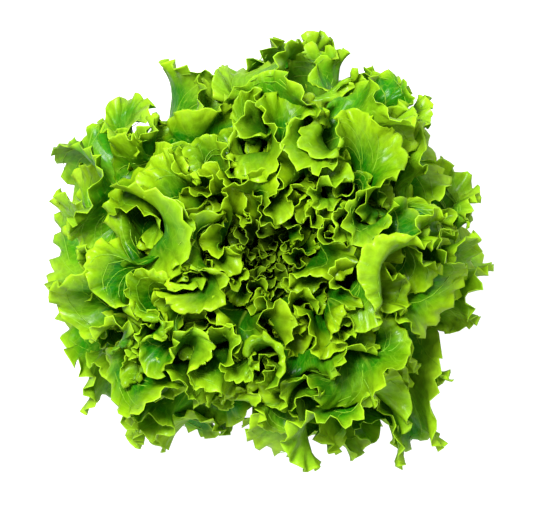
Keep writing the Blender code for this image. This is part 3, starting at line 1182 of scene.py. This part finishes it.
def turned_mesh(name, rings, cut):
    """A closed mesh through rings of points, with a pole at each end."""
    count, columns = rings.shape[:2]
    first, last = rings[0].mean(axis=0), rings[-1].mean(axis=0)
    vertices = np.concatenate([rings.reshape(-1, 3), [first, last]])
    index = np.arange(count * columns).reshape(count, columns)
    ahead = np.roll(index, -1, axis=1)
    faces = np.stack([index[:-1], ahead[:-1], ahead[1:], index[1:]], axis=-1).reshape(-1, 4).tolist()
    bottom, top = count * columns, count * columns + 1
    faces += [(bottom, b, a) for a, b in zip(index[0], ahead[0])]
    faces += [(top, a, b) for a, b in zip(index[-1], ahead[-1])]
    mesh = bpy.data.meshes.new(name)
    mesh.from_pydata(vertices.tolist(), [], faces)
    mesh.shade_smooth()
    layer = mesh.attributes.new("cut", "FLOAT", "POINT")
    values = np.concatenate([np.repeat(cut, columns), (1, 0)])
    layer.data.foreach_set("value", np.float32(values))
    return mesh


# Settings


def size_property(label, about, value, **more):
    return FloatProperty(
        name=label, description=about, default=value, unit="LENGTH", precision=4, min=0.0, **more
    )


def colour_property(label, about, value):
    return FloatVectorProperty(
        name=label, description=about, default=value, size=3, subtype="COLOR", min=0.0
    )


class LettuceSizes(bpy.types.PropertyGroup):
    lobe_width: size_property("Lobe width", "Width of the lowest leaf's lobes", 0.023)
    growth: FloatProperty(name="Growth", description="How much longer a margin grows", default=1.35)
    growth_depth: size_property("Growth depth", "How far behind the margin it grows", 0.044)
    growth_steps: IntProperty(name="Growth steps", description="Steps of growth", default=260)
    frill_width: size_property("Frill width", "Width of the lowest leaf's small frills", 0.0150)
    tooth_spacing: size_property("Tooth spacing", "Along the lowest leaf's margin", 0.0120)
    tooth_reach: size_property("Tooth reach", "Length of a tooth", 0.0034)
    blade_thickness: size_property("Blade thickness", "Of a leaf between its veins", 0.0005)
    rib_height: size_property("Rib height", "How far a rib stands out of the leaf's back", 0.0026)
    vein_thickness: FloatProperty(
        name="Vein thickness", description="Of the raised veins, against a grown leaf's", default=1.0
    )
    cut_hollow: size_property("Cut hollow", "How far the cut face is hollow", 0.0007)
    scar_count: IntProperty(name="Leaf scars", description="Where the lowest leaves were", default=9)
    scar_size: FloatVectorProperty(
        name="Scar size",
        description="Half the depth, width and height of a leaf scar",
        default=(0.0006, 0.0042, 0.0011),
        size=3,
        unit="LENGTH",
        precision=4,
    )
    rooting: size_property("Rooting", "How far a leaf's base reaches into the stem", 0.0016)


class LettuceColours(bpy.types.PropertyGroup):
    # The older greens are also painted shade: dark deep in each leaf, and darker from the outer leaves
    # in to the heart
    outer_grown: colour_property("Outer leaves", "Their older green", (0.016, 0.190, 0.001))
    outer_young: colour_property("Outer margins", "Their younger green", (0.310, 0.53, 0.008))
    middle_grown: colour_property("Middle leaves", "Their older green", (0.008, 0.130, 0.0005))
    middle_young: colour_property("Middle margins", "Their younger green", (0.265, 0.46, 0.003))
    inner_grown: colour_property("Inner leaves", "Their older green", (0.006, 0.095, 0.0005))
    inner_young: colour_property("Inner margins", "Their younger green", (0.265, 0.44, 0.003))
    # The heart's colours, its margins too, are darkened as painted shade in the head's hollow middle
    heart_grown: colour_property("Heart leaves", "Their older green", (0.012, 0.050, 0.001))
    heart_young: colour_property("Heart margins", "Their younger green", (0.105, 0.20, 0.002))
    pale: colour_property("Ribs", "Ribs, veins and leaf bases", (0.33, 0.53, 0.03))
    # The edge colour is partly the margin's paler green, partly a painted highlight along it
    edge: colour_property("Edges", "The very edge of a leaf", (0.38, 0.66, 0.02))
    through: colour_property("Light through", "Tint of light that comes through", (0.70, 1.35, 0.06))
    vein: colour_property("Veins", "Raised veins", (0.15, 0.38, 0.010))
    flesh: colour_property("Stem", "The stem's flesh", (0.56, 0.62, 0.30))
    streak: colour_property("Stem streaks", "Fibres up the stem", (0.36, 0.47, 0.14))
    browned: colour_property("Browned", "Where the stem was cut", (0.26, 0.13, 0.045))
    scar: colour_property("Scars", "Where leaves were taken off", (0.34, 0.24, 0.10))
    floor: colour_property("Floor", "The floor under the head", (0.40, 0.40, 0.40))


# Pieces


def make_leaves(chosen):
    """Make all the leaves of one kind."""
    scene = bpy.context.scene
    material = leaf_material(chosen, scene.lettuce_colours)
    place = 0
    for kind, count, slot, columns, rows in LEAF_KINDS:
        for number in range(1, count + 1):
            if kind == chosen:
                name = f"{kind}_{number:02d}"
                add_leaf(name, place, rows, columns, scene.lettuce_sizes, material)
            place += 1
    return {"FINISHED"}


class LETTUCE_OT_outer_leaves(bpy.types.Operator):
    """Make the large outer leaves"""

    bl_idname = "lettuce.outer_leaves"
    bl_label = "Outer leaves"

    def execute(self, context):
        return make_leaves("outer_leaf")


class LETTUCE_OT_middle_leaves(bpy.types.Operator):
    """Make the middle leaves"""

    bl_idname = "lettuce.middle_leaves"
    bl_label = "Middle leaves"

    def execute(self, context):
        return make_leaves("middle_leaf")


class LETTUCE_OT_inner_leaves(bpy.types.Operator):
    """Make the small frilled inner leaves"""

    bl_idname = "lettuce.inner_leaves"
    bl_label = "Inner leaves"

    def execute(self, context):
        return make_leaves("inner_leaf")


class LETTUCE_OT_heart_leaves(bpy.types.Operator):
    """Make the youngest leaves at the heart"""

    bl_idname = "lettuce.heart_leaves"
    bl_label = "Heart leaves"

    def execute(self, context):
        return make_leaves("heart_leaf")


class LETTUCE_OT_veins(bpy.types.Operator):
    """Make the raised veins of the leaves"""

    bl_idname = "lettuce.veins"
    bl_label = "Veins"

    def execute(self, context):
        sizes = context.scene.lettuce_sizes
        material = vein_material(context.scene.lettuce_colours)
        tree = vein_tree(material)
        place = 0
        for kind, count, slot, columns, rows in LEAF_KINDS[:3]:
            chains = []
            for _ in range(count):
                chains += vein_chains(place, frilled_leaf(place, rows, columns, sizes))
                place += 1
            name = short_name(kind) + "_veins"
            settings = {"Sides": 5 if kind == "outer_leaf" else 4, "Thickness": sizes.vein_thickness}
            mesh = made_by_nodes(name, chains_mesh(name + "_chains", chains), tree, settings)
            piece = add_piece(name, mesh, material)
            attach(piece, "root")
        return {"FINISHED"}


class LETTUCE_OT_stem(bpy.types.Operator):
    """Make the stem, with its cut face"""

    bl_idname = "lettuce.stem"
    bl_label = "Stem"

    def execute(self, context):
        colours = context.scene.lettuce_colours
        material = stem_material("stem flesh", colours.flesh, colours.streak, colours.browned)
        rings, cut = stem_rings(context.scene.lettuce_sizes)
        piece = add_piece("trimmed_stem", turned_mesh("trimmed_stem", rings, cut), material)
        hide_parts("stem")
        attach(piece, "root")
        return {"FINISHED"}


class LETTUCE_OT_leaf_scars(bpy.types.Operator):
    """Make the scars that the lowest leaves left on the stem's foot"""

    bl_idname = "lettuce.leaf_scars"
    bl_label = "Leaf scars"

    def execute(self, context):
        sizes, colours = context.scene.lettuce_sizes, context.scene.lettuce_colours
        material = stem_material("leaf scar", colours.scar, colours.browned, colours.browned)
        tree = scar_tree(material)
        settings = {
            "Count": sizes.scar_count,
            "Turn": GOLDEN_ANGLE,
            "Spiral radius": STEM_RADIUS,
            "Lowest": SCAR_HEIGHTS[0],
            "Highest": SCAR_HEIGHTS[1],
            "Scar size": sizes.scar_size,
            "Seed": 7,
        }
        mesh = made_by_nodes("leaf_scars", bpy.data.meshes.new("scar base"), tree, settings)
        piece = add_piece("leaf_scars", mesh, material)
        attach(piece, "root")
        return {"FINISHED"}


class LETTUCE_OT_stage(bpy.types.Operator):
    """Make the floor, the studio light and the camera"""

    bl_idname = "lettuce.stage"
    bl_label = "Stage"

    def execute(self, context):
        scene = context.scene
        bpy.ops.mesh.primitive_plane_add(size=FLOOR_WIDTH)
        floor = context.object
        floor.name = "floor"
        floor.data.materials.append(floor_material(scene.lettuce_colours.floor))
        world = bpy.data.worlds.new("studio")
        world.use_nodes = True
        nodes = Nodes(world.node_tree)
        world.node_tree.nodes.clear()
        soft = nodes.add("ShaderNodeBackground", {"Color": (1, 1, 1, 1), "Strength": STUDIO_LIGHT})
        wall = nodes.add("ShaderNodeBackground", {"Color": (1, 1, 1, 1), "Strength": WALL_GLOW})
        seen = nodes.add("ShaderNodeLightPath").outputs["Is Camera Ray"]
        both = nodes.add("ShaderNodeMixShader", {0: seen, 1: soft.outputs[0], 2: wall.outputs[0]})
        nodes.add("ShaderNodeOutputWorld", {"Surface": both.outputs[0]})
        scene.world = world
        middle = Vector((0, 0, HEAD_HEIGHT / 2))
        for name, place, size, power in LAMPS:
            lamp = bpy.data.lights.new(name, "AREA")
            lamp.size = size
            lamp.energy = power
            light = bpy.data.objects.new(name, lamp)
            light.location = place
            light.rotation_euler = (middle - light.location).to_track_quat("-Z", "Y").to_euler()
            scene.collection.objects.link(light)
        view = bpy.data.cameras.new("camera")
        view.lens = CAMERA_LENS
        camera = bpy.data.objects.new("camera", view)
        camera.location = CAMERA_PLACE
        scene.collection.objects.link(camera)
        scene.camera = camera
        scene.view_settings.view_transform = "Standard"
        return {"FINISHED"}


class LETTUCE_PT_head(bpy.types.Panel):
    """Lists the sizes, the colours and the pieces"""

    bl_idname = "LETTUCE_PT_head"
    bl_label = "Head of lettuce"
    bl_space_type = "VIEW_3D"
    bl_region_type = "UI"
    bl_category = "Lettuce"

    def draw(self, context):
        for settings in (context.scene.lettuce_sizes, context.scene.lettuce_colours):
            box = self.layout.box()
            for label in settings.__annotations__:
                box.prop(settings, label)
        for operator in OPERATORS:
            self.layout.operator(operator.bl_idname)


OPERATORS = (
    LETTUCE_OT_outer_leaves,
    LETTUCE_OT_middle_leaves,
    LETTUCE_OT_inner_leaves,
    LETTUCE_OT_heart_leaves,
    LETTUCE_OT_veins,
    LETTUCE_OT_stem,
    LETTUCE_OT_leaf_scars,
    LETTUCE_OT_stage,
)
CLASSES = (LettuceSizes, LettuceColours, *OPERATORS, LETTUCE_PT_head)


def register():
    for made in CLASSES:
        bpy.utils.register_class(made)
    bpy.types.Scene.lettuce_sizes = PointerProperty(type=LettuceSizes)
    bpy.types.Scene.lettuce_colours = PointerProperty(type=LettuceColours)


def unregister():
    del bpy.types.Scene.lettuce_colours
    del bpy.types.Scene.lettuce_sizes
    for made in reversed(CLASSES):
        bpy.utils.unregister_class(made)


def main():
    register()
    for operator in OPERATORS:
        family, name = operator.bl_idname.split(".")
        getattr(getattr(bpy.ops, family), name)()


if __name__ == "__main__":
    main()
